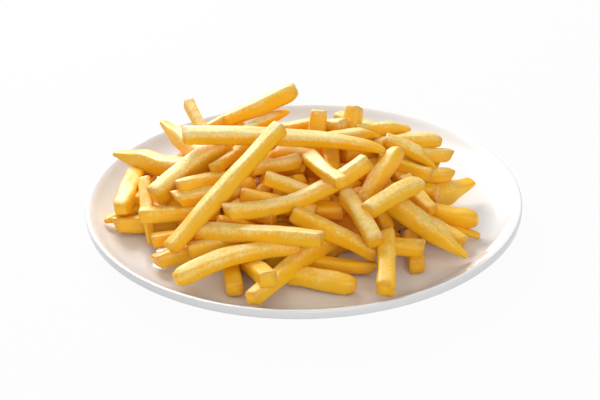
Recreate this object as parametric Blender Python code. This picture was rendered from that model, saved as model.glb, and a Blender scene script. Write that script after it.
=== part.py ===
"""A portion of french fries heaped on a round coupe plate.

Two solids: the turned plate, and the heap of fries as one solid out to its
uneven outline. The origin is the middle of the foot ring, on the table.
Units are metres and +Z is up. Fry places are given in millimetres.
"""
import math

import bmesh
import bpy
from mathutils import Matrix, Vector, noise

MM = 0.001

# Plate
PLATE_RADIUS = 0.130
PLATE_HEIGHT = 0.018
PLATE_WALL = 0.0038
PLATE_SEGMENTS = 72
WELL_HEIGHT = 0.008         # top of the flat well above the table
WELL_RADIUS = 0.095         # where the well starts to curve up
WELL_CURVE = 3.5            # power of the rise from the well to the lip
LIP_RADIUS = 0.1275         # inner edge of the lip
LIP_ROUND = 0.0008
TOP_RINGS = 8               # rings from the well to the lip
UNDER_RINGS = 6             # rings of the underside, from the band to the foot
EDGE_BAND = 0.0052          # height of the upright outer edge
FOOT_RADIUS = 0.081
FOOT_WIDTH = 0.006

# Heap
PLATE_GAP = 0.0003          # clearance between the heap and the plate
CUTTER_MARGIN = 0.05        # how far the cutter under the heap reaches past the plate
CORE_CENTRE = (-0.008, -0.008, 0.006)
CORE_SIZE = (0.074, 0.066, 0.042)
CORE_LUMPS = 0.006
FRY_CHAMFER = 0.17          # share of the thickness taken off each long edge
FRY_BEND_STEPS = 4

# One fry a line: start x, y, z, end x, y, z, thickness and upward bow, in mm.
CROWN_FRIES = (
    (-46, 26, 55, -3, 21, 77, 10.5, 0),
    (-62, 30, 46, -36, 26, 60, 9.5, 0),
    (-40, 8, 53, -8, 22, 64, 7, 0),
    (-70, -2, 60, 49, -20, 58, 10, 1),
    (-73, -73, 22, -12, -18, 71, 10.3, 0),
    (10, 17, 65, 8, 10, 45, 11.5, 0),
    (25, 12, 56, 8, 26, 48, 9.5, 0),
    (33, 25, 63, 26, 14, 40, 11, 0),
    (46, 14, 52, 12, -6, 56, 8.5, 0),
    (66, 28, 47, 30, 17, 51, 9.5, 0),
    (68, 32, 41, 46, 12, 45, 8, 0),
    (84, 23, 41, 42, 8, 46, 11, 1),
    (88, 15, 34, 50, 5, 40, 10, 0),
    (80, 0, 36, 48, 7, 48, 9, 0),
)
LEFT_FRIES = (
    (-70, 49, 56, -50, 12, 42, 8.5, 0),
    (-86, 57, 42, -58, 8, 38, 12, -4),
    (-80, 16, 26, -66, 58, 22, 9.5, 0),
    (-115, 41, 28, -66, 6, 26, 14, -5),
    (-87, -30, 34, -43, 6, 50, 13, 0),
    (-105, -30, 22, -101, 26, 21, 11, 0),
    (-98, -16, 19, -94, 30, 16, 9, 0),
    (-97, 2, 26, -88, -50, 14, 8, 0),
    (-117, -20, 15, -80, -8, 14, 11, 0),
    (-110, -30, 13, -72, -24, 14, 10.5, 0),
    (-94, -40, 28, -48, -40, 29, 10.5, 0),
    (-73, -38, 36, -36, -30, 35, 10.5, 0),
    (-72, -34, 42, -42, -20, 41, 8.5, 2),
    (-52, -23, 46, -34, 12, 46, 8, 0),
    (-86, -56, 19, -44, -46, 21, 9.5, 0),
    (-83, -70, 14, -38, -56, 17, 10, 0),
)
FRONT_FRIES = (
    (-71, -95, 18, -4, -76, 27, 10, 4),
    (-65, -72, 24, -28, -60, 26, 9, 0),
    (-38, -101, 14, -44, -60, 14, 10, 0),
    (-18, -112, 24, -34, -68, 14, 10.5, 0),
    (-30, -115, 14, 22, -50, 14, 10, 0),
    (27, -99, 13, -10, -86, 12, 11, 0),
    (38, -80, 14, -22, -66, 14, 9.5, 0),
    (42, -117, 14, 44, -68, 24, 10.5, 0),
    (-62, -60, 28, 10, -87, 35, 10, 0),
    (-43, -62, 36, 37, -37, 57, 10, -8),
    (-6, -54, 36, 42, -75, 21, 10, 0),
    (24, -44, 42, 41, -85, 33, 10.5, 2),
)
MIDDLE_FRIES = (
    (4, -21, 51, 22, -61, 53, 9.5, 0),
    (-22, -32, 46, 8, -46, 42, 9.5, 0),
    (-30, -22, 46, -2, -12, 46, 9, 0),
    (-36, -40, 39, 6, -54, 34, 10, 0),
)
BACK_FRIES = (
    (-60, 70, 14, -8, 78, 15, 10, 0),
    (-22, 86, 14, 34, 73, 14, 10, 0),
    (26, 80, 14, 68, 48, 15, 10, 0),
    (-84, 52, 14, -60, 20, 28, 9.5, 0),
    (-76, 36, 16, -44, 72, 24, 10, 0),
    (-50, 50, 24, 6, 62, 26, 10.5, 0),
    (-4, 66, 25, 50, 56, 25, 10, 0),
    (80, 32, 14, 50, 54, 22, 10, 0),
    (60, 60, 15, 40, 24, 40, 10, 0),
    (-14, 40, 34, 40, 46, 36, 10, 0),
    (-58, 34, 34, -18, 56, 35, 10, 0),
    (20, 60, 32, 62, 30, 34, 10, 0),
    (-36, 28, 44, 14, 40, 45, 9.5, 0),
    (-6, 86, 16, -20, 40, 40, 10, 0),
    (34, 80, 16, 20, 36, 42, 10, 0),
    (-46, 80, 16, -38, 34, 44, 9.5, 0),
)
RIGHT_FRIES = (
    (67, -36, 43, 34, -68, 40, 11, 3),
    (54, -18, 57, 32, -48, 35, 10, 0),
    (66, -73, 20, 36, -71, 24, 10, 0),
    (62, -80, 14, 60, -48, 16, 10, 0),
    (91, -71, 14, 48, -44, 36, 11.5, 0),
    (91, -54, 13, 60, -36, 22, 9.5, 0),
    (100, -39, 19, 56, -27, 26, 11, -2),
    (101, -42, 12, 68, -34, 13, 7.5, 0),
    (74, -40, 24, 58, -14, 33, 9, 0),
    (102, 9, 24, 60, -20, 19, 15, -2),
    (88, 0, 28, 54, -12, 34, 10, 0),
    (75, -11, 32, 44, -2, 41, 9, 0),
    (80, 10, 29, 52, 28, 36, 9, 0),
)


def start_empty():
    for item in list(bpy.data.objects):
        bpy.data.objects.remove(item, do_unlink=True)


def make_material(name, colour, roughness):
    material = bpy.data.materials.new(name)
    material.use_nodes = True
    shader = material.node_tree.nodes["Principled BSDF"]
    shader.inputs["Base Color"].default_value = (*colour, 1.0)
    shader.inputs["Roughness"].default_value = roughness
    shader.inputs["Metallic"].default_value = 0.0
    material.diffuse_color = (*colour, 1.0)
    return material


def object_from_bmesh(name, shape, material=None):
    mesh = bpy.data.meshes.new(name)
    shape.to_mesh(mesh)
    shape.free()
    item = bpy.data.objects.new(name, mesh)
    bpy.context.scene.collection.objects.link(item)
    if material is not None:
        mesh.materials.append(material)
    return item


def well_surface(radius):
    """Height of the plate's top surface at a radius, up to the lip."""
    rise = max(0.0, radius - WELL_RADIUS) / (LIP_RADIUS - WELL_RADIUS)
    return WELL_HEIGHT + (PLATE_HEIGHT - WELL_HEIGHT) * rise ** WELL_CURVE


def spaced(first, last, count):
    return [first + (last - first) * step / (count - 1) for step in range(count)]


def turned(profile, segments):
    """A closed solid turned about Z from points (radius, height)."""
    shape = bmesh.new()
    points = [shape.verts.new((radius, 0.0, height)) for radius, height in profile]
    edges = [shape.edges.new(pair) for pair in zip(points, points[1:])]
    bmesh.ops.spin(shape, geom=points + edges, cent=(0, 0, 0), axis=(0, 0, 1),
                   angle=math.tau, steps=segments, use_merge=True)
    bmesh.ops.remove_doubles(shape, verts=shape.verts[:], dist=0.00001)
    bmesh.ops.recalc_face_normals(shape, faces=shape.faces[:])
    return shape


def plate_profile():
    top = [(radius, well_surface(radius)) for radius in spaced(WELL_RADIUS, LIP_RADIUS, TOP_RINGS)]
    edge = [
        (PLATE_RADIUS - LIP_ROUND, PLATE_HEIGHT),
        (PLATE_RADIUS, PLATE_HEIGHT - LIP_ROUND),
        (PLATE_RADIUS, PLATE_HEIGHT - EDGE_BAND),
    ]
    under_outer = LIP_RADIUS - 0.5 * PLATE_WALL
    under = [(radius, well_surface(radius) - PLATE_WALL)
             for radius in spaced(under_outer, FOOT_RADIUS, UNDER_RINGS)]
    foot_inner = FOOT_RADIUS - FOOT_WIDTH
    under_height = WELL_HEIGHT - PLATE_WALL
    foot = [
        (FOOT_RADIUS - 0.25 * FOOT_WIDTH, 0.0),
        (foot_inner + 0.25 * FOOT_WIDTH, 0.0),
        (foot_inner, under_height),
        (0.0, under_height),
    ]
    return [(0.0, WELL_HEIGHT)] + top + edge + under + foot


def make_plate(material):
    plate = object_from_bmesh("plate", turned(plate_profile(), PLATE_SEGMENTS), material)
    plate.data.shade_smooth()
    plate.data.set_sharp_from_angle(angle=math.radians(35))
    return plate


def fry_shape(start, end, thickness, bow):
    """One fry: a square bar with chamfered long edges, bowed along its length."""
    along = end - start
    length = along.length
    shape = bmesh.new()
    bmesh.ops.create_cube(shape, size=1.0)
    long_edges = [edge for edge in shape.edges
                  if abs(edge.verts[0].co.x - edge.verts[1].co.x) > 0.5]
    bmesh.ops.bevel(shape, geom=long_edges, offset=FRY_CHAMFER, segments=1, affect="EDGES")
    if bow:
        long_edges = [edge for edge in shape.edges
                      if abs(edge.verts[0].co.x - edge.verts[1].co.x) > 0.5]
        bmesh.ops.subdivide_edges(shape, edges=long_edges, cuts=FRY_BEND_STEPS - 1)
    forward = along.normalized()
    side = Vector((0, 0, 1)).cross(forward).normalized()
    upward = forward.cross(side)
    middle = (start + end) / 2
    for vertex in shape.verts:
        share = vertex.co.x
        lift = bow * (1.0 - (2.0 * share) ** 2)
        vertex.co = (middle + forward * (share * length) + side * (vertex.co.y * thickness)
                     + upward * (vertex.co.z * thickness + lift))
    return shape


def core_shape():
    """The packed middle of the heap: a lumpy dome with a flat base."""
    shape = bmesh.new()
    bmesh.ops.create_icosphere(shape, subdivisions=3, radius=1.0)
    centre = Vector(CORE_CENTRE)
    for vertex in shape.verts:
        direction = vertex.co.normalized()
        lump = CORE_LUMPS * noise.noise(direction * 3.0)
        vertex.co = centre + Vector(d * (s + lump) for d, s in zip(direction, CORE_SIZE))
    return shape


def below_plate_surface():
    """Everything from under the plate up to just above its top surface."""
    rim = LIP_RADIUS + CUTTER_MARGIN
    floor = -CUTTER_MARGIN
    surface = [(radius, well_surface(radius) + PLATE_GAP)
               for radius in spaced(WELL_RADIUS, LIP_RADIUS, TOP_RINGS)]
    profile = [(0.0, WELL_HEIGHT + PLATE_GAP)] + surface
    profile += [(rim, PLATE_HEIGHT + PLATE_GAP), (rim, floor), (0.0, floor)]
    return turned(profile, PLATE_SEGMENTS)


def keep_outer_shell(item):
    """Leave only the largest connected surface, so the heap has no sealed gaps."""
    shape = bmesh.new()
    shape.from_mesh(item.data)
    bmesh.ops.remove_doubles(shape, verts=shape.verts[:], dist=0.00002)
    bmesh.ops.dissolve_degenerate(shape, edges=shape.edges[:], dist=0.00002)
    waiting = set(shape.faces)
    shells = []
    while waiting:
        stack = [waiting.pop()]
        shell = set(stack)
        while stack:
            for edge in stack.pop().edges:
                for face in edge.link_faces:
                    if face in waiting:
                        waiting.remove(face)
                        shell.add(face)
                        stack.append(face)
        shells.append(shell)
    outer = max(shells, key=lambda shell: sum(face.calc_area() for face in shell))
    spare = [face for shell in shells if shell is not outer for face in shell]
    bmesh.ops.delete(shape, geom=spare, context="FACES")
    bmesh.ops.triangulate(shape, faces=shape.faces[:])
    shape.to_mesh(item.data)
    shape.free()


def cutter(name, shape, group):
    item = object_from_bmesh(name, shape)
    item.hide_render = True
    item.display_type = "WIRE"
    bpy.context.scene.collection.objects.unlink(item)
    group.objects.link(item)
    return item


def boolean(item, name, operation, **operand):
    modifier = item.modifiers.new(name, "BOOLEAN")
    modifier.operation = operation
    modifier.solver = "EXACT"
    for key, value in operand.items():
        setattr(modifier, key, value)


def make_heap(material):
    heap = object_from_bmesh("fries_heap", core_shape(), material)
    group = bpy.data.collections.new("heap_tools")
    bpy.context.scene.collection.children.link(group)
    sets = (CROWN_FRIES, LEFT_FRIES, FRONT_FRIES, MIDDLE_FRIES, BACK_FRIES, RIGHT_FRIES)
    rows = [row for fries in sets for row in fries]
    bars = []
    for number, row in enumerate(rows, start=1):
        start = Vector(row[0:3]) * MM
        end = Vector(row[3:6]) * MM
        thickness = row[6] * MM
        bow = row[7] * MM
        bars.append(cutter(f"bar_{number:02d}", fry_shape(start, end, thickness, bow), group))
    boolean(heap, "join_fries", "UNION", operand_type="COLLECTION", collection=group)
    freeze(heap)
    plate_side = cutter("below_plate_surface", below_plate_surface(), group)
    boolean(heap, "clear_of_plate", "DIFFERENCE", object=plate_side)
    freeze(heap)
    for tool in bars + [plate_side]:
        bpy.data.objects.remove(tool, do_unlink=True)
    bpy.data.collections.remove(group)
    keep_outer_shell(heap)
    return heap


def freeze(item):
    """Turn the modifiers into plain mesh."""
    graph = bpy.context.evaluated_depsgraph_get()
    graph.update()
    mesh = bpy.data.meshes.new_from_object(item.evaluated_get(graph))
    item.modifiers.clear()
    item.data = mesh


def main():
    start_empty()
    glaze = make_material("white_glaze", (0.86, 0.86, 0.87), 0.18)
    potato = make_material("fried_potato", (0.85, 0.50, 0.09), 0.55)
    make_plate(glaze)
    make_heap(potato)


main()
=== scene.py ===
"""French fries heaped on a round coupe plate: the single fries, the glazed plate and the table."""
import math
import random

import bpy
import numpy as np
from mathutils import Matrix, Vector, noise


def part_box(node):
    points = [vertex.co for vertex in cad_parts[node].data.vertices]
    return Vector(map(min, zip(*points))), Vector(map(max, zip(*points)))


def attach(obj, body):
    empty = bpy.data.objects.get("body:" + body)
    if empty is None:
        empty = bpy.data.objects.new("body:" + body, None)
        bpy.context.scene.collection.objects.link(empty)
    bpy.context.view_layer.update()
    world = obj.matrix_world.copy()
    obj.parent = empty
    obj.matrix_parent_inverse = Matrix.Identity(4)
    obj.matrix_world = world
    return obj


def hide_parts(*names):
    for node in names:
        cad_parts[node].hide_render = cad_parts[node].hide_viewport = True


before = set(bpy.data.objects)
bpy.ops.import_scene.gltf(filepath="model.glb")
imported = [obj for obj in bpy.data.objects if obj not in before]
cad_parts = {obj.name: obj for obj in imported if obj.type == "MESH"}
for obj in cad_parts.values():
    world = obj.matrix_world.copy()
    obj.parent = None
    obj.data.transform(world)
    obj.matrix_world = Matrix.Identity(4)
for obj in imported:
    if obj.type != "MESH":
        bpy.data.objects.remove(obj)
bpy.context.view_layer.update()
PLATE_LOW, PLATE_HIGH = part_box("plate")

bl_info = {
    "name": "French Fries Plate",
    "version": (1, 0, 0),
    "blender": (4, 5, 0),
    "location": "View3D > Sidebar > Fries",
    "description": "Heaps french fries on a round plate and lights them",
    "category": "Object",
}

MM = 0.001
BODY = "root"

# Every laid fry: start x, y, z, end x, y, z, thickness and upward bow, all in millimetres.
# The start is the end that shows.
LAID_FRIES = {
    "rounded": (
        (-3, 21, 77, -46, 26, 55, 10, 0),
        (84, 23, 41, 42, 8, 46, 10.5, 1),
        (100, -39, 19, 56, -27, 26, 10.5, -2),
        (27, -99, 13, -10, -86, 12, 10.5, 0),
        (-71, -95, 18, -4, -76, 27, 9.5, 4),
        (67, -36, 43, 34, -68, 40, 10.5, 3),
        (-105, -30, 22, -101, 26, 21, 10.5, 0),
        (54, -18, 57, 32, -48, 35, 9.5, 0),
        (-36, 28, 44, 14, 40, 45, 9, 0),
        (80, 32, 14, 50, 54, 22, 9.5, 0),
        (-6, 86, 16, -20, 40, 40, 9.5, 0),
    ),
    "slanted": (
        (80, 10, 29, 52, 28, 36, 8.5, 0),
        (-36, 26, 60, -62, 30, 46, 9, 0),
        (88, 15, 34, 50, 5, 40, 9.5, 0),
        (88, 0, 28, 54, -12, 34, 9.5, 0),
        (-110, -30, 13, -72, -24, 14, 10, 0),
        (-73, -38, 36, -36, -30, 35, 10, 0),
        (-43, -62, 36, 37, -37, 57, 9.5, -8),
        (-83, -70, 14, -38, -56, 17, 9.5, 0),
        (38, -80, 14, -22, -66, 14, 9, 0),
        (-22, 86, 14, 34, 73, 14, 9.5, 0),
        (-76, 36, 16, -44, 72, 24, 9.5, 0),
        (60, 60, 15, 40, 24, 40, 9.5, 0),
        (-58, 34, 34, -18, 56, 35, 9.5, 0),
    ),
    "pointed": (
        (49, -20, 58, -70, -2, 60, 9.5, 1),
        (-86, 57, 42, -58, 8, 38, 11.5, -4),
        (-8, 22, 64, -40, 8, 53, 6.5, 0),
        (-115, 41, 28, -66, 6, 26, 13.5, -5),
        (102, 9, 24, 60, -20, 19, 14.5, -2),
        (91, -71, 14, 48, -44, 36, 11, 0),
        (-117, -20, 15, -80, -8, 14, 10.5, 0),
        (101, -42, 12, 68, -34, 13, 7, 0),
        (66, 28, 47, 30, 17, 51, 9, 0),
        (68, 32, 41, 46, 12, 45, 7.5, 0),
        (80, 0, 36, 48, 7, 48, 8.5, 0),
        (-88, -50, 14, -97, 2, 26, 7.5, 0),
        (46, 14, 52, 12, -6, 56, 8, 0),
        (26, 80, 14, 68, 48, 15, 9.5, 0),
        (-46, 80, 16, -38, 34, 44, 9, 0),
    ),
    "blunt": (
        (-12, -18, 71, -73, -73, 22, 9.8, 0),
        (10, 17, 65, 8, 10, 45, 11, 0),
        (25, 12, 56, 8, 26, 48, 9, 0),
        (33, 25, 63, 26, 14, 40, 10.5, 0),
        (-70, 49, 56, -50, 12, 42, 8, 0),
        (-80, 16, 26, -66, 58, 22, 9, 0),
        (-87, -30, 34, -43, 6, 50, 12.5, 0),
        (-98, -16, 19, -94, 30, 16, 8.5, 0),
        (-94, -40, 28, -48, -40, 29, 10, 0),
        (-72, -34, 42, -42, -20, 41, 8, 2),
        (-52, -23, 46, -34, 12, 46, 7.5, 0),
        (-86, -56, 19, -44, -46, 21, 9, 0),
        (-65, -72, 24, -28, -60, 26, 8.5, 0),
        (-38, -101, 14, -44, -60, 14, 9.5, 0),
        (-18, -112, 24, -34, -68, 14, 10, 0),
        (-30, -115, 14, 22, -50, 14, 9.5, 0),
        (10, -87, 35, -62, -60, 28, 9.5, 0),
        (42, -75, 21, -6, -54, 36, 9.5, 0),
        (41, -85, 33, 24, -44, 42, 10, 2),
        (22, -61, 53, 4, -21, 51, 9, 0),
        (8, -46, 42, -22, -32, 46, 9, 0),
        (-2, -12, 46, -30, -22, 46, 8.5, 0),
        (6, -54, 34, -36, -40, 39, 9.5, 0),
        (66, -73, 20, 36, -71, 24, 9.5, 0),
        (62, -80, 14, 60, -48, 16, 9.5, 0),
        (42, -117, 14, 44, -68, 24, 10, 0),
        (91, -54, 13, 60, -36, 22, 9, 0),
        (74, -40, 24, 58, -14, 33, 8.5, 0),
        (75, -11, 32, 44, -2, 41, 8.5, 0),
        (-60, 70, 14, -8, 78, 15, 9.5, 0),
        (-84, 52, 14, -60, 20, 28, 9, 0),
        (-50, 50, 24, 6, 62, 26, 10, 0),
        (-4, 66, 25, 50, 56, 25, 9.5, 0),
        (-14, 40, 34, 40, 46, 36, 9.5, 0),
        (20, 60, 32, 62, 30, 34, 9.5, 0),
        (34, 80, 16, 20, 36, 42, 9.5, 0),
    ),
}
KIND_ORDER = ("rounded", "slanted", "pointed", "blunt")

# The master fry is one unit thick, and its other numbers are in the same unit.
HALF_FRY = 3.0                  # half its length
FRY_CUTS = 7                    # cuts across each half
EDGE_BEVEL = 0.24               # rounding of the long edges
END_BEVEL = 0.08                # rounding of the ends' rims

# The filling under the laid fries, in metres.
FILLING_HALF_WIDTH = 0.100
FILLING_HALF_DEPTH = 0.088
FILLING_CENTRE_Y = -0.012
FILLING_EDGE_HEIGHT = 0.012
FILLING_RISE = 0.032            # from its edge to its middle
FILLER_FOOT = 0.010             # the lowest place of a filler fry
FILLER_HALF_WIDTH = 0.088       # the ellipse that holds the fillers when laid
FILLER_HALF_DEPTH = 0.070
SETTLED_HALF_WIDTH = 0.086      # and the one that holds their ends when settled
SETTLED_HALF_DEPTH = 0.068
FILLER_CENTRE_Y = -0.002
CORE_HALF_SIZE = (0.066, 0.052, 0.022)
CORE_CENTRE = (-0.006, -0.010)
CORE_LIFT = 0.002               # of its middle above its flat foot
PLATE_GAP = 0.0003              # between the lowest fries and the glaze

# How readily a fry gives way when fries are pushed apart.
LAID_LOOSENESS = 0.06
FILLER_LOOSENESS = 1.0
TOUCHING = 0.45                 # share of two thicknesses at which fries touch
HOME_PULL = 0.012

# Darkest and lightest tone of a fry; the fillers deep inside get darker tones as painted shade
# between the laid fries, so a laid fry is paler than one deep inside.
FILLER_SHADED_TONES = (0.0, 0.12)
LAID_TONES = (0.26, 0.52)

# The stage, in metres.
TABLE_RADIUS = 4.0
TABLE_GAP = 0.0002
LAMP_TARGET = (0.0, 0.0, 0.03)
KEY_PLACE = (-0.42, 0.96, 0.66)
KEY_SIZE = 0.7
FILL_PLACE = (0.25, -1.15, 0.45)
FILL_SIZE = 0.8
SENSOR_WIDTH = 36.0             # millimetres, as is the lens
CAMERA_SHIFT = (-0.006, -0.011)


# ---------------------------------------------------------------- settings

class PlateSettings(bpy.types.PropertyGroup):
    radius: bpy.props.FloatProperty(
        name="Radius", description="Outer radius of the plate",
        default=0.5 * (PLATE_HIGH.x - PLATE_LOW.x), unit="LENGTH")
    height: bpy.props.FloatProperty(
        name="Height", description="Height of the lip above the table",
        default=PLATE_HIGH.z, unit="LENGTH")
    well_height: bpy.props.FloatProperty(
        name="Well height", description="Top of the flat well above the table",
        default=0.008, unit="LENGTH")
    well_radius: bpy.props.FloatProperty(
        name="Well radius", description="Where the flat well starts to curve up",
        default=0.095, unit="LENGTH")
    lip_radius: bpy.props.FloatProperty(
        name="Lip radius", description="Inner edge of the lip",
        default=0.1275, unit="LENGTH")
    well_curve: bpy.props.FloatProperty(
        name="Well curve", description="Power of the rise from the well to the lip", default=3.5)
    wall: bpy.props.FloatProperty(
        name="Wall", description="Thickness of the plate", default=0.0038, unit="LENGTH")
    band: bpy.props.FloatProperty(
        name="Edge band", description="Height of the upright outer edge",
        default=0.0052, unit="LENGTH")
    foot_radius: bpy.props.FloatProperty(
        name="Foot radius", description="Outer radius of the foot ring",
        default=0.081, unit="LENGTH")
    foot_width: bpy.props.FloatProperty(
        name="Foot width", description="Width of the foot ring", default=0.006, unit="LENGTH")
    colour: bpy.props.FloatVectorProperty(
        name="Glaze", description="Colour of the white glaze", subtype="COLOR",
        default=(0.86, 0.86, 0.86), min=0.0, max=1.0)


class FrySettings(bpy.types.PropertyGroup):
    pale: bpy.props.FloatVectorProperty(
        name="Pale", description="Colour of the lightest fried potato", subtype="COLOR",
        default=(0.98, 0.79, 0.33), min=0.0, max=1.0)
    golden: bpy.props.FloatVectorProperty(
        name="Golden", description="Colour of most of the crust", subtype="COLOR",
        default=(0.97, 0.53, 0.008), min=0.0, max=1.0)
    # Amber is also painted shade: the low tones of downward sides and of the fillers deep in the
    # heap turn amber.
    amber: bpy.props.FloatVectorProperty(
        name="Amber", description="Colour of the long edges and well fried sides", subtype="COLOR",
        default=(0.88, 0.27, 0.005), min=0.0, max=1.0)
    brown: bpy.props.FloatVectorProperty(
        name="Brown", description="Colour of the browned tips", subtype="COLOR",
        default=(0.50, 0.16, 0.012), min=0.0, max=1.0)
    fillers: bpy.props.IntProperty(
        name="Fillers", description="Fries that fill the heap under the laid ones", default=84)
    settle_steps: bpy.props.IntProperty(
        name="Settle steps", description="Rounds that push crossing fries apart", default=120)
    seed: bpy.props.IntProperty(name="Seed", description="Seed of all unevenness", default=7)


class StageSettings(bpy.types.PropertyGroup):
    key_power: bpy.props.FloatProperty(
        name="Key lamp", description="Power of the soft lamp behind and above", default=18.5,
        unit="POWER")
    fill_power: bpy.props.FloatProperty(
        name="Fill lamp", description="Power of the soft lamp in front", default=4.0,
        unit="POWER")
    sky: bpy.props.FloatProperty(
        name="Room light", description="Strength of the even room light", default=0.58)
    elevation: bpy.props.FloatProperty(
        name="Elevation", description="Camera's angle above the table",
        default=math.radians(28.15), subtype="ANGLE")
    roll: bpy.props.FloatProperty(
        name="Roll", description="Camera's turn about its own axis",
        default=math.radians(-1.14), subtype="ANGLE")
    distance: bpy.props.FloatProperty(
        name="Distance", description="From the camera to the middle of the rim",
        default=0.85, unit="LENGTH")
    lens: bpy.props.FloatProperty(
        name="Lens", description="Focal length in millimetres", default=85.0)


def plate_settings():
    return bpy.context.scene.plate_settings


def fry_settings():
    return bpy.context.scene.fry_settings


def stage_settings():
    return bpy.context.scene.stage_settings


# ---------------------------------------------------------------- shader maths

class Term:
    """A shader socket that adds Math nodes when used in an expression."""

    def __init__(self, tree, socket):
        self.tree = tree
        self.socket = socket

    def math(self, operation, first, second, clamp=False):
        node = self.tree.nodes.new("ShaderNodeMath")
        node.operation = operation
        node.use_clamp = clamp
        for slot, value in enumerate((first, second)):
            if isinstance(value, Term):
                self.tree.links.new(value.socket, node.inputs[slot])
            else:
                node.inputs[slot].default_value = value
        return Term(self.tree, node.outputs[0])

    def __add__(self, other):
        return self.math("ADD", self, other)

    def __radd__(self, other):
        return self.math("ADD", other, self)

    def __sub__(self, other):
        return self.math("SUBTRACT", self, other)

    def __rsub__(self, other):
        return self.math("SUBTRACT", other, self)

    def __mul__(self, other):
        return self.math("MULTIPLY", self, other)

    def __rmul__(self, other):
        return self.math("MULTIPLY", other, self)

    def limited(self):
        return self.math("ADD", self, 0.0, clamp=True)


class Finish:
    """A new material with a Principled shader and short ways to add nodes."""

    def __init__(self, name):
        self.material = bpy.data.materials.new(name)
        self.material.use_nodes = True
        self.tree = self.material.node_tree
        self.shader = self.tree.nodes["Principled BSDF"]
        self.output = self.tree.nodes["Material Output"]

    def node(self, kind, settings=None, **sockets):
        node = self.tree.nodes.new(kind)
        for key, value in (settings or {}).items():
            setattr(node, key, value)
        for key, value in sockets.items():
            self.feed(node.inputs[key.replace("_", " ")], value)
        return node

    def feed(self, socket, value):
        if isinstance(value, Term):
            self.tree.links.new(value.socket, socket)
        elif isinstance(value, bpy.types.NodeSocket):
            self.tree.links.new(value, socket)
        else:
            socket.default_value = value

    def term(self, socket):
        return Term(self.tree, socket)

    def noise(self, place, scale, detail=2.0, roughness=0.5):
        node = self.node("ShaderNodeTexNoise", Vector=place, Scale=scale, Detail=detail,
                         Roughness=roughness)
        return self.term(node.outputs[0])

    def blend(self, factor, first, second):
        node = self.node("ShaderNodeMix", {"data_type": "RGBA"})
        self.feed(node.inputs[0], factor)
        self.feed(node.inputs[6], first)
        self.feed(node.inputs[7], second)
        return node.outputs[2]

    def step(self, value, low, high):
        node = self.node("ShaderNodeMapRange", {"interpolation_type": "SMOOTHSTEP"}, Value=value,
                         From_Min=low, From_Max=high)
        return self.term(node.outputs["Result"])

    def bump(self, height, strength, distance):
        node = self.node("ShaderNodeBump", Height=height, Strength=strength, Distance=distance)
        self.feed(self.shader.inputs["Normal"], node.outputs["Normal"])

    def set(self, **sockets):
        for key, value in sockets.items():
            self.feed(self.shader.inputs[key.replace("_", " ")], value)


def colour4(colour):
    return (*colour, 1.0)


def glaze_finish():
    finish = Finish("white_glaze")
    place = finish.node("ShaderNodeTexCoord").outputs["Object"]
    cloud = finish.noise(place, scale=9.0, detail=3.0)
    base = plate_settings().colour
    cooler = [channel * 0.97 for channel in base]
    ripple = finish.noise(place, scale=45.0, detail=1.0)
    finish.set(Base_Color=finish.blend(cloud, colour4(base), colour4(cooler)),
               Roughness=0.10 + 0.08 * cloud)
    finish.shader.inputs["Coat Weight"].default_value = 0.4
    finish.shader.inputs["Coat Roughness"].default_value = 0.06
    finish.bump(ripple, strength=0.05, distance=0.0006)
    return finish.material


def potato_finish():
    look = fry_settings()
    finish = Finish("fried_potato")
    place = finish.node("ShaderNodeAttribute", {"attribute_name": "fry_place"}).outputs["Vector"]
    marks_and_painted_light = finish.node("ShaderNodeAttribute", {"attribute_name": "fry_marks_and_painted_light"}).outputs["Color"]
    parts = finish.node("ShaderNodeSeparateColor", Color=marks_and_painted_light)
    tone = finish.term(parts.outputs["Red"])
    edge = finish.term(parts.outputs["Green"])
    tip = finish.term(parts.outputs["Blue"])
    stretched = finish.node("ShaderNodeMapping", Vector=place)
    stretched.inputs["Scale"].default_value = (0.25, 1.0, 1.0)
    patches = finish.noise(place, scale=110.0, detail=3.0)
    streaks = finish.noise(stretched.outputs["Vector"], scale=420.0, detail=3.0, roughness=0.6)
    pores = finish.noise(place, scale=900.0, detail=2.0)
    mottle = finish.noise(place, scale=620.0, detail=3.0, roughness=0.65)

    # The tone mark holds painted top light and painted shade: uppermost sides come out paler and
    # creamier, while downward sides and deep fillers come out amber.
    cream_and_painted_light = 0.8 * tone + 0.45 * patches + 0.9 * mottle
    paleness_and_painted_light = finish.step(cream_and_painted_light, low=1.10, high=1.62)
    colour = finish.blend(paleness_and_painted_light, colour4(look.golden), colour4(look.pale))
    edge_fry = edge * (0.05 + 0.5 * patches)
    # Edges and streaks are real frying; the low-tone term adds painted shade on downward sides and
    # deep fillers.
    fried = edge_fry + 0.9 * (streaks - 0.5) + 3.2 * (0.27 - tone)
    colour = finish.blend(fried.limited() * 0.85, colour, colour4(look.amber))
    scorched = finish.step(patches + 0.5 * streaks, low=0.45, high=0.95)
    browned = (tip * scorched).limited()
    colour = finish.blend(browned * 0.5, colour, colour4(look.brown))
    finish.set(Base_Color=colour, Roughness=(0.36 + 0.22 * streaks).limited())
    finish.set(Coat_Weight=(0.10 + 0.30 * patches).limited())
    finish.shader.inputs["Coat Roughness"].default_value = 0.40
    finish.shader.inputs["Specular IOR Level"].default_value = 0.38
    finish.shader.inputs["Subsurface Weight"].default_value = 0.18
    finish.shader.inputs["Subsurface Scale"].default_value = 0.002
    finish.shader.inputs["Subsurface Radius"].default_value = (1.0, 0.55, 0.2)
    crust = patches * 0.4 + mottle * 0.8 + pores * 0.35
    finish.bump(crust, strength=0.35, distance=0.0009)
    return finish.material


def core_finish():
    look = fry_settings()
    finish = Finish("packed_potato")
    place = finish.node("ShaderNodeTexCoord").outputs["Object"]
    lumps = finish.noise(place, scale=120.0, detail=3.0)
    # The core's amber to golden colour is darker than most laid fries; it is painted shade for the
    # deep gaps of the heap.
    finish.set(Base_Color=finish.blend(lumps, colour4(look.amber), colour4(look.golden)),
               Roughness=0.5 + 0.2 * lumps)
    finish.bump(lumps, strength=0.5, distance=0.002)
    return finish.material


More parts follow.
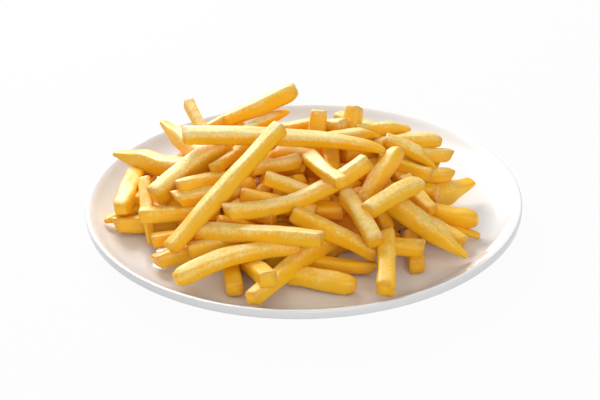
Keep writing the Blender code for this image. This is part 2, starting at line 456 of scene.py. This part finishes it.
def table_finish():
    """White to the camera, yet it still takes the plate's soft shadow."""
    finish = Finish("white_table")
    finish.set(Base_Color=(0.45, 0.45, 0.45, 1.0), Roughness=0.7)
    rays = finish.node("ShaderNodeLightPath")
    seen = finish.term(rays.outputs["Is Camera Ray"]) + finish.term(rays.outputs["Is Glossy Ray"])
    glow = finish.node("ShaderNodeEmission", Color=(1.0, 1.0, 1.0, 1.0), Strength=1.0)
    mix = finish.node("ShaderNodeMixShader")
    finish.feed(mix.inputs[0], seen.limited() * 0.96)
    finish.feed(mix.inputs[1], finish.shader.outputs[0])
    finish.feed(mix.inputs[2], glow.outputs[0])
    finish.feed(finish.output.inputs["Surface"], mix.outputs[0])
    return finish.material


# ---------------------------------------------------------------- modelling helpers

def added(name):
    """The active object, which an operator has just made, with its new name."""
    item = bpy.context.active_object
    item.name = name
    item.data.name = name
    return item


def mark_edges(item, test):
    """Select the edges that pass a test of their two ends, in edit mode's edge select."""
    bpy.ops.mesh.select_mode(type="EDGE")
    bpy.ops.mesh.select_all(action="DESELECT")
    bpy.ops.object.mode_set(mode="OBJECT")
    mesh = item.data
    for edge in mesh.edges:
        ends = [mesh.vertices[index].co for index in edge.vertices]
        edge.select = bool(test(*ends))
    bpy.ops.object.mode_set(mode="EDIT")


def coordinates(mesh):
    values = np.empty(len(mesh.vertices) * 3, dtype=np.float32)
    mesh.vertices.foreach_get("co", values)
    return values.reshape(-1, 3).astype(float)


def set_coordinates(mesh, values):
    mesh.vertices.foreach_set("co", values.astype(np.float32).ravel())
    mesh.update()


def spaced(first, last, count):
    return [first + (last - first) * step / (count - 1) for step in range(count)]


# ---------------------------------------------------------------- plate

def well_surface(radius):
    """Height of the plate's top surface at a radius, up to the lip."""
    look = plate_settings()
    rise = max(0.0, radius - look.well_radius) / (look.lip_radius - look.well_radius)
    return look.well_height + (look.height - look.well_height) * rise ** look.well_curve


def arc(centre, radius, first, last, count):
    """Points (radius, height) of an arc between two angles in degrees."""
    return [(centre[0] + radius * math.cos(math.radians(angle)),
             centre[1] + radius * math.sin(math.radians(angle)))
            for angle in spaced(first, last, count)]


def plate_outline():
    """The turned section after the flat well: well wall, lip, band, underside, foot."""
    look = plate_settings()
    rounding = 0.0011
    shoulder = 0.0006
    foot_side = 0.0022
    foot_fillet = 0.0015
    inner_fillet = 0.0012
    wall_radii = spaced(look.well_radius, look.lip_radius - shoulder, 15)[1:]
    points = [(radius, well_surface(radius)) for radius in wall_radii]
    lip = (look.radius - rounding, look.height - rounding)
    points += arc(lip, rounding, 90, 0, 6)
    base = (look.radius - rounding, look.height - look.band + rounding)
    points += arc(base, rounding, 0, -70, 5)
    under_outer = look.lip_radius - 0.7 * look.wall
    points += [(radius, well_surface(radius) - look.wall)
               for radius in spaced(under_outer, look.foot_radius + foot_fillet, 9)]
    foot_round = 0.25 * look.foot_width
    foot_inner = look.foot_radius - look.foot_width
    points += [(look.foot_radius, foot_side)]
    points += arc((look.foot_radius - foot_round, foot_round), foot_round, 0, -90, 4)
    points += arc((foot_inner + foot_round, foot_round), foot_round, -90, -180, 4)
    points += [(foot_inner, look.well_height - look.wall - shoulder)]
    points += [(foot_inner - inner_fillet, look.well_height - look.wall)]
    return points


class FRIES_OT_plate(bpy.types.Operator):
    """Model the plate ring by ring from its flat well and give it a white glaze"""
    bl_idname = "fries.plate"
    bl_label = "Glazed plate"

    def execute(self, context):
        look = plate_settings()
        bpy.ops.object.select_all(action="DESELECT")
        bpy.ops.mesh.primitive_circle_add(
            vertices=160, radius=look.well_radius, fill_type="NGON",
            location=(0.0, 0.0, look.well_height))
        plate = added("glazed_plate")
        bpy.ops.object.transform_apply(location=True, rotation=True, scale=True)
        bpy.ops.object.mode_set(mode="EDIT")
        mark_edges(plate, lambda a, b: True)
        radius = look.well_radius
        height = look.well_height
        for next_radius, next_height in plate_outline():
            bpy.ops.mesh.extrude_edges_move()
            factor = next_radius / radius
            bpy.ops.transform.resize(value=(factor, factor, 1.0),
                                     center_override=(0.0, 0.0, height))
            bpy.ops.transform.translate(value=(0.0, 0.0, next_height - height))
            radius = next_radius
            height = next_height
        bpy.ops.mesh.edge_face_add()
        bpy.ops.mesh.select_all(action="SELECT")
        bpy.ops.mesh.normals_make_consistent(inside=False)
        bpy.ops.object.mode_set(mode="OBJECT")
        bpy.ops.object.shade_smooth_by_angle(angle=math.radians(40))
        plate.data.materials.append(glaze_finish())
        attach(plate, BODY)
        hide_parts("plate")
        return {"FINISHED"}


# ---------------------------------------------------------------- fries

def model_fry(kind):
    """A fry along X, one unit thick and six long, whose +X end has the kind's shape."""
    bpy.ops.object.select_all(action="DESELECT")
    bpy.ops.mesh.primitive_cube_add(size=1.0, location=(0.0, 0.0, 0.0))
    fry = added("fry_" + kind)
    fry.scale = (2.0 * HALF_FRY, 1.0, 1.0)
    bpy.ops.object.transform_apply(location=True, rotation=True, scale=True)
    bpy.ops.object.mode_set(mode="EDIT")
    bpy.ops.mesh.select_all(action="SELECT")
    bpy.ops.mesh.subdivide(number_cuts=1)
    mark_edges(fry, lambda a, b: abs(a.x - b.x) > 1.0)
    bpy.ops.mesh.subdivide(number_cuts=FRY_CUTS)
    mark_edges(fry, lambda a, b: abs(a.x - b.x) > 0.1 and min(abs(a.y), abs(a.z)) > 0.4)
    bpy.ops.mesh.bevel(offset=EDGE_BEVEL, segments=2, profile=0.5, affect="EDGES")
    for end in (-1.0, 1.0):
        mark_edges(fry, lambda a, b: (min(a.x * end, b.x * end) > HALF_FRY - 0.01
                                      and max(abs(a.y + b.y), abs(a.z + b.z)) > 0.55))
        bpy.ops.mesh.bevel(offset=END_BEVEL, segments=1, affect="EDGES")
    bpy.ops.object.mode_set(mode="OBJECT")
    shape_end(fry.data, kind)
    return fry


def shape_end(mesh, kind):
    """Cut, taper or round the +X end of a fry; the -X end is always gently slanted."""
    points = coordinates(mesh)
    along = points[:, 0]
    ending = np.clip((along - 1.0) / 2.0, 0.0, 1.1)
    other = np.clip((-along - 2.0) / 1.0, 0.0, 1.1)
    points[:, 0] -= 0.16 * other * points[:, 1]
    if kind == "slanted":
        points[:, 0] += ending ** 2 * (0.45 * points[:, 2] - 0.30 * points[:, 1])
        points[:, 2] *= 1.0 - 0.12 * ending
    elif kind == "pointed":
        points[:, 2] = (points[:, 2] + 0.5) * (1.0 - 0.76 * ending ** 1.3) - 0.5
        points[:, 1] *= 1.0 - 0.45 * ending
    elif kind == "rounded":
        round_off = np.clip((along - 2.2) / 0.86, 0.0, 1.0)
        shrink = np.sqrt(np.clip(1.0 - 0.80 * round_off ** 2.4, 0.05, 1.0))
        points[:, 1] *= shrink
        points[:, 2] *= shrink
    else:
        points[:, 0] += ending ** 2 * 0.10 * points[:, 2]
    set_coordinates(mesh, points)


class Fry:
    """A fry's place in the heap: its middle line's ends and how it is bent."""

    def __init__(self, row, kind, loose):
        self.start = np.array(row[0:3], dtype=float) * MM
        self.end = np.array(row[3:6], dtype=float) * MM
        self.thickness = row[6] * MM
        self.bow = row[7] * MM
        self.kind = kind
        self.loose = loose
        self.filler = loose == FILLER_LOOSENESS


def heap_height(x, y):
    """Height of the heap's hidden filling above the table, in metres."""
    spread = (x / FILLING_HALF_WIDTH) ** 2 + ((y - FILLING_CENTRE_Y) / FILLING_HALF_DEPTH) ** 2
    return FILLING_EDGE_HEIGHT + FILLING_RISE * np.maximum(0.0, 1.0 - spread) ** 0.8


def filler_fries(count, dice):
    """Fries at random angles that fill the heap under the laid ones."""
    found = []
    while len(found) < count:
        x = dice.uniform(-0.07, 0.07)
        y = dice.uniform(-0.07, 0.06)
        half = dice.uniform(0.018, 0.030)
        turn = dice.uniform(0.0, math.pi)
        step = np.array((math.cos(turn), math.sin(turn))) * half
        far_x = abs(x) + abs(step[0])
        far_y = abs(y - FILLER_CENTRE_Y) + abs(step[1])
        if (far_x / FILLER_HALF_WIDTH) ** 2 + (far_y / FILLER_HALF_DEPTH) ** 2 > 1.0:
            continue
        share = dice.uniform(0.25, 0.95)
        row = []
        for side in (1.0, -1.0):
            px = x + side * step[0]
            py = y + side * step[1]
            top = heap_height(px, py)
            row += [px / MM, py / MM, (FILLER_FOOT + (top - FILLER_FOOT) * share) / MM]
        row += [dice.uniform(8.5, 11.0), dice.uniform(-2.0, 2.0)]
        found.append(Fry(row, dice.choice(KIND_ORDER), FILLER_LOOSENESS))
    return found


def nearest_shares(start_a, along_a, start_b, along_b):
    """Where pairs of segments come closest, as shares of their lengths."""
    between = start_a - start_b
    aa = np.sum(along_a * along_a, axis=1)
    bb = np.sum(along_b * along_b, axis=1)
    ab = np.sum(along_a * along_b, axis=1)
    ar = np.sum(along_a * between, axis=1)
    br = np.sum(along_b * between, axis=1)
    spread = np.maximum(aa * bb - ab * ab, 1e-12)
    share_a = np.clip((ab * br - ar * bb) / spread, 0.0, 1.0)
    share_b = np.clip((ab * share_a + br) / bb, 0.0, 1.0)
    share_a = np.clip((ab * share_b - ar) / aa, 0.0, 1.0)
    return share_a, share_b


def settle(fries, steps):
    """Push crossing fries apart and keep them above the plate, near where they were laid."""
    starts = np.array([fry.start for fry in fries])
    ends = np.array([fry.end for fry in fries])
    home_starts = starts.copy()
    home_ends = ends.copy()
    thick = np.array([fry.thickness for fry in fries])
    loose = np.array([fry.loose for fry in fries])
    filler = np.array([fry.filler for fry in fries])
    one, two = np.triu_indices(len(fries), k=1)
    reach = TOUCHING * (thick[one] + thick[two])
    yield_one = (loose[one] / (loose[one] + loose[two]))[:, None]
    lip = plate_settings().lip_radius
    for _step in range(steps):
        along = ends - starts
        share_one, share_two = nearest_shares(starts[one], along[one], starts[two], along[two])
        gap = (starts[one] + share_one[:, None] * along[one]
               - starts[two] - share_two[:, None] * along[two])
        distance = np.maximum(np.linalg.norm(gap, axis=1), 1e-6)
        push = gap / distance[:, None] * (0.5 * np.clip(reach - distance, 0.0, None))[:, None]
        push_one = push * yield_one
        push_two = push * (1.0 - yield_one)
        np.add.at(starts, one, push_one * 2 * (1 - share_one)[:, None])
        np.add.at(ends, one, push_one * 2 * share_one[:, None])
        np.add.at(starts, two, -push_two * 2 * (1 - share_two)[:, None])
        np.add.at(ends, two, -push_two * 2 * share_two[:, None])
        pull = np.minimum(HOME_PULL / loose, 1.0)[:, None]
        starts += (home_starts - starts) * pull
        ends += (home_ends - ends) * pull
        for points in (starts, ends):
            radii = np.minimum(np.hypot(points[:, 0], points[:, 1]) + 0.2 * thick, lip)
            glaze = np.array([well_surface(radius) for radius in radii])
            floors = glaze + 0.5 * thick + PLATE_GAP
            outside = np.hypot(points[:, 0] / SETTLED_HALF_WIDTH,
                               (points[:, 1] - FILLER_CENTRE_Y) / SETTLED_HALF_DEPTH)
            inward = np.where(filler, np.maximum(outside, 1.0), 1.0)
            points[:, 0:2] /= inward[:, None]
            ceilings = np.where(filler, heap_height(points[:, 0], points[:, 1]), np.inf)
            points[:, 2] = np.maximum(np.minimum(points[:, 2], ceilings), floors)
    for fry, start, end in zip(fries, starts, ends):
        fry.start = start
        fry.end = end


def field(x, y, z, shift):
    """Smooth noise vectors at unit places, moved to this fry's own part of the noise."""
    return np.array([noise.noise_vector(Vector(place) + shift) for place in zip(x, y, z)])


def stretched(x, length, thick):
    """Places along a fry of the given length, whose shaped ends keep their proportions."""
    end_zone = min(1.0, 0.25 * length / thick)
    straight = HALF_FRY - end_zone
    inner = np.clip(np.abs(x), 0.0, straight) / straight
    outer = np.clip(np.abs(x) - straight, 0.0, None)
    half_middle = 0.5 * length - end_zone * thick
    return np.sign(x) * (inner * half_middle + outer * thick)


def bent(x, y, z, share, half_length, bow, sway):
    """Places on a fry once it is bowed upward and swayed sideways about its middle."""
    curve = 1.0 - share ** 2
    slope_up = -2.0 * share * bow / half_length
    slope_side = -2.0 * share * sway / half_length
    return (x - z * slope_up - y * slope_side,
            y + sway * (curve - 0.5),
            z + bow * (curve - 0.5))


def lay_fry(master, fry, dice):
    """A copy of a master fry with its own mesh, uneven, bent and laid in its place."""
    copy = master.copy()
    copy.data = master.data.copy()
    bpy.context.scene.collection.objects.link(copy)
    points = coordinates(copy.data)
    shift = Vector([dice.uniform(-50.0, 50.0) for _axis in range(3)])
    along = fry.end - fry.start
    length = float(np.linalg.norm(along))
    thick = fry.thickness
    wide = thick * dice.uniform(0.92, 1.06)
    tall = thick * dice.uniform(0.90, 1.04)
    roll = math.radians(dice.uniform(-12.0, 12.0))
    twist = math.radians(dice.uniform(-10.0, 10.0))
    taper = dice.uniform(-0.10, 0.10)
    bow = fry.bow + dice.uniform(-0.018, 0.018) * length
    sway = dice.uniform(-0.03, 0.03) * length

    px = stretched(points[:, 0], length, thick)
    share = px / (0.5 * length)
    unit_y = points[:, 1]
    unit_z = points[:, 2]
    waves = field(px / thick * 0.40, unit_y * 0.9, unit_z * 0.9, shift)
    dents = field(px / thick * 1.3, unit_y * 2.2, unit_z * 2.2, shift + Vector((9.0, 0.0, 0.0)))
    hollow = 0.055 * np.clip(1.0 - 4.0 * np.abs(unit_y * unit_z), 0.0, 1.0)
    size = 1.0 + taper * share - hollow
    py = (unit_y * size + waves[:, 1] * 0.13 + dents[:, 1] * 0.045) * wide
    pz = (unit_z * size + waves[:, 2] * 0.13 + dents[:, 2] * 0.045) * tall
    px = px + dents[:, 0] * 0.05 * thick

    angle = roll + twist * share
    turned_y = py * np.cos(angle) - pz * np.sin(angle)
    turned_z = py * np.sin(angle) + pz * np.cos(angle)
    bent_x, bent_y, bent_z = bent(px, turned_y, turned_z, share, 0.5 * length, bow, sway)

    forward = -along / length
    side = np.cross((0.0, 0.0, 1.0), forward)
    side /= np.linalg.norm(side)
    upward = np.cross(forward, side)
    middle = 0.5 * (fry.start + fry.end)
    placed = (middle + bent_x[:, None] * forward + bent_y[:, None] * side
              + bent_z[:, None] * upward)
    place = np.stack((px, py, pz), axis=1) + np.array(shift)
    # Fillers draw darker tones: painted shade deep in the heap.
    tone = dice.uniform(*(FILLER_SHADED_TONES if fry.filler else LAID_TONES))
    # Painted light by height: fries high in the heap get a stronger painted top light, and low
    # ones keep more painted shade.
    painted_light_by_height = min(max(0.85 + 20.0 * (middle[2] - 0.035), 0.55), 1.4)
    painted_light_rises = (forward[2] * painted_light_by_height, upward[2] * painted_light_by_height)
    write_marks_and_painted_light(copy.data, points, place, painted_light_rises, tone, dice)
    set_coordinates(copy.data, placed)
    return copy


def write_marks_and_painted_light(mesh, unit, place, painted_light_rises, tone, dice):
    """Store each point's place on its fry, its tone, and how near it is to an edge or a tip.

    The sides and ends that lie uppermost get a painted top light that makes them paler, most of
    all high in the heap; the sides that face down get painted shade.
    """
    lean = dice.uniform(-0.12, 0.12)
    end_light_rise, side_light_rise = painted_light_rises
    on_end = np.clip((np.abs(unit[:, 0]) - 2.8) / 0.15, 0.0, 1.0) * np.sign(unit[:, 0])
    # Painted top light: paler where a side or end faces up, darker where it faces down.
    painted_top_light = np.clip(unit[:, 2] * side_light_rise + 0.5 * on_end * end_light_rise, -0.1, 0.7)
    tones_with_painted_light = tone + painted_top_light + lean * unit[:, 1]
    corner = np.clip(np.minimum(np.abs(unit[:, 1]), np.abs(unit[:, 2])) * 2.0, 0.0, 1.0)
    edge = np.clip((corner - 0.45) / 0.4, 0.0, 1.0)
    rim = np.clip((np.maximum(np.abs(unit[:, 1]), np.abs(unit[:, 2])) - 0.26) / 0.14, 0.0, 1.0)
    tip = rim * np.clip((np.abs(unit[:, 0]) - 2.6) / 0.4, 0.0, 1.0)
    marks_and_painted_light = np.stack((np.clip(tones_with_painted_light, 0.0, 1.0), edge, tip, np.ones(len(unit))), axis=1)
    layer = mesh.attributes.new("fry_marks_and_painted_light", "FLOAT_COLOR", "POINT")
    layer.data.foreach_set("color", marks_and_painted_light.astype(np.float32).ravel())
    layer = mesh.attributes.new("fry_place", "FLOAT_VECTOR", "POINT")
    layer.data.foreach_set("vector", place.astype(np.float32).ravel())


def join(name, items):
    bpy.ops.object.select_all(action="DESELECT")
    for item in items:
        item.select_set(True)
    bpy.context.view_layer.objects.active = items[0]
    bpy.ops.object.join()
    return added(name)


class FRIES_OT_core(bpy.types.Operator):
    """Model the small packed core that closes the gaps deep inside the heap"""
    bl_idname = "fries.core"
    bl_label = "Packed core"

    def execute(self, context):
        bpy.ops.object.select_all(action="DESELECT")
        bpy.ops.mesh.primitive_ico_sphere_add(subdivisions=5, radius=1.0, location=(0, 0, 0))
        core = added("packed_core")
        floor = plate_settings().well_height + 0.0004
        points = coordinates(core.data)
        for index, point in enumerate(points):
            lump = 1.0 + 0.16 * noise.noise(Vector(point) * 4.0)
            points[index] = point * lump * np.array(CORE_HALF_SIZE)
        points += np.array((*CORE_CENTRE, floor + CORE_LIFT))
        points[:, 2] = np.maximum(points[:, 2], floor)
        set_coordinates(core.data, points)
        bpy.ops.object.shade_smooth()
        core.data.materials.append(core_finish())
        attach(core, BODY)
        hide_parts("fries_heap")
        return {"FINISHED"}


class FRIES_OT_fries(bpy.types.Operator):
    """Model four kinds of fry, lay a copy for every place in the heap and join them by kind"""
    bl_idname = "fries.fries"
    bl_label = "Fries"

    def execute(self, context):
        look = fry_settings()
        dice = random.Random(look.seed)
        noise.seed_set(look.seed)
        fries = [Fry(row, kind, LAID_LOOSENESS)
                 for kind in KIND_ORDER for row in LAID_FRIES[kind]]
        fries += filler_fries(look.fillers, dice)
        settle(fries, look.settle_steps)
        finish = potato_finish()
        for kind in KIND_ORDER:
            master = model_fry(kind)
            laid = [lay_fry(master, fry, dice) for fry in fries if fry.kind == kind]
            bpy.data.objects.remove(master, do_unlink=True)
            piece = join("fries_" + kind, laid)
            bpy.ops.object.mode_set(mode="EDIT")
            bpy.ops.mesh.select_all(action="SELECT")
            bpy.ops.mesh.normals_make_consistent(inside=False)
            bpy.ops.object.mode_set(mode="OBJECT")
            soften = piece.modifiers.new("soften", "SUBSURF")
            soften.levels = 1
            soften.render_levels = 1
            bpy.ops.object.modifier_apply(modifier=soften.name)
            bpy.ops.object.shade_smooth()
            piece.data.materials.append(finish)
            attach(piece, BODY)
            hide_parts("fries_heap")
        return {"FINISHED"}


# ---------------------------------------------------------------- stage

def add_lamp(name, place, target, size, power):
    bpy.ops.object.light_add(type="AREA", location=place)
    lamp = bpy.context.active_object
    lamp.name = name
    lamp.rotation_euler = (Vector(target) - Vector(place)).to_track_quat("-Z", "Y").to_euler()
    lamp.data.shape = "DISK"
    lamp.data.size = size
    lamp.data.energy = power


class FRIES_OT_stage(bpy.types.Operator):
    """Set the white table, the soft lamps, the room light and the camera"""
    bl_idname = "fries.stage"
    bl_label = "Stage"

    def execute(self, context):
        look = stage_settings()
        scene = context.scene
        bpy.ops.object.select_all(action="DESELECT")
        bpy.ops.mesh.primitive_circle_add(vertices=64, radius=TABLE_RADIUS, fill_type="NGON",
                                          location=(0.0, 0.0, -TABLE_GAP))
        table = added("table_top")
        table.data.materials.append(table_finish())

        add_lamp("key_lamp", KEY_PLACE, LAMP_TARGET, KEY_SIZE, look.key_power)
        add_lamp("fill_lamp", FILL_PLACE, LAMP_TARGET, FILL_SIZE, look.fill_power)

        world = bpy.data.worlds.new("room")
        world.use_nodes = True
        background = world.node_tree.nodes["Background"]
        background.inputs["Color"].default_value = (1.0, 1.0, 1.0, 1.0)
        background.inputs["Strength"].default_value = look.sky
        scene.world = world

        rim = Vector((0.0, 0.0, plate_settings().height))
        back = Vector((0.0, -math.cos(look.elevation), math.sin(look.elevation)))
        bpy.ops.object.camera_add(location=rim + look.distance * back)
        camera = bpy.context.active_object
        camera.name = "camera"
        aim = (-back).to_track_quat("-Z", "Y").to_matrix().to_4x4()
        turn = Matrix.Rotation(look.roll, 4, "Z")
        camera.matrix_world = Matrix.Translation(rim + look.distance * back) @ aim @ turn
        camera.data.lens = look.lens
        camera.data.sensor_width = SENSOR_WIDTH
        camera.data.shift_x = CAMERA_SHIFT[0]
        camera.data.shift_y = CAMERA_SHIFT[1]
        scene.camera = camera
        scene.view_settings.view_transform = "Standard"
        return {"FINISHED"}


# ---------------------------------------------------------------- panel and registration

class FRIES_PT_panel(bpy.types.Panel):
    """Lists the steps that build the plate of fries"""
    bl_label = "French fries"
    bl_idname = "FRIES_PT_panel"
    bl_space_type = "VIEW_3D"
    bl_region_type = "UI"
    bl_category = "Fries"

    def draw(self, context):
        layout = self.layout
        for operator in OPERATORS:
            layout.operator(operator.bl_idname)
        for settings in (plate_settings(), fry_settings(), stage_settings()):
            box = layout.box()
            for name in settings.__annotations__:
                box.prop(settings, name)


SETTINGS = {
    "plate_settings": PlateSettings,
    "fry_settings": FrySettings,
    "stage_settings": StageSettings,
}
OPERATORS = (FRIES_OT_plate, FRIES_OT_core, FRIES_OT_fries, FRIES_OT_stage)


def register():
    for group in SETTINGS.values():
        bpy.utils.register_class(group)
    for name, group in SETTINGS.items():
        setattr(bpy.types.Scene, name, bpy.props.PointerProperty(type=group))
    for operator in OPERATORS:
        bpy.utils.register_class(operator)
    bpy.utils.register_class(FRIES_PT_panel)


def unregister():
    bpy.utils.unregister_class(FRIES_PT_panel)
    for operator in reversed(OPERATORS):
        bpy.utils.unregister_class(operator)
    for name in SETTINGS:
        delattr(bpy.types.Scene, name)
    for group in SETTINGS.values():
        bpy.utils.unregister_class(group)


def main():
    register()
    bpy.ops.fries.plate()
    bpy.ops.fries.core()
    bpy.ops.fries.fries()
    bpy.ops.fries.stage()


if __name__ == "__main__":
    main()
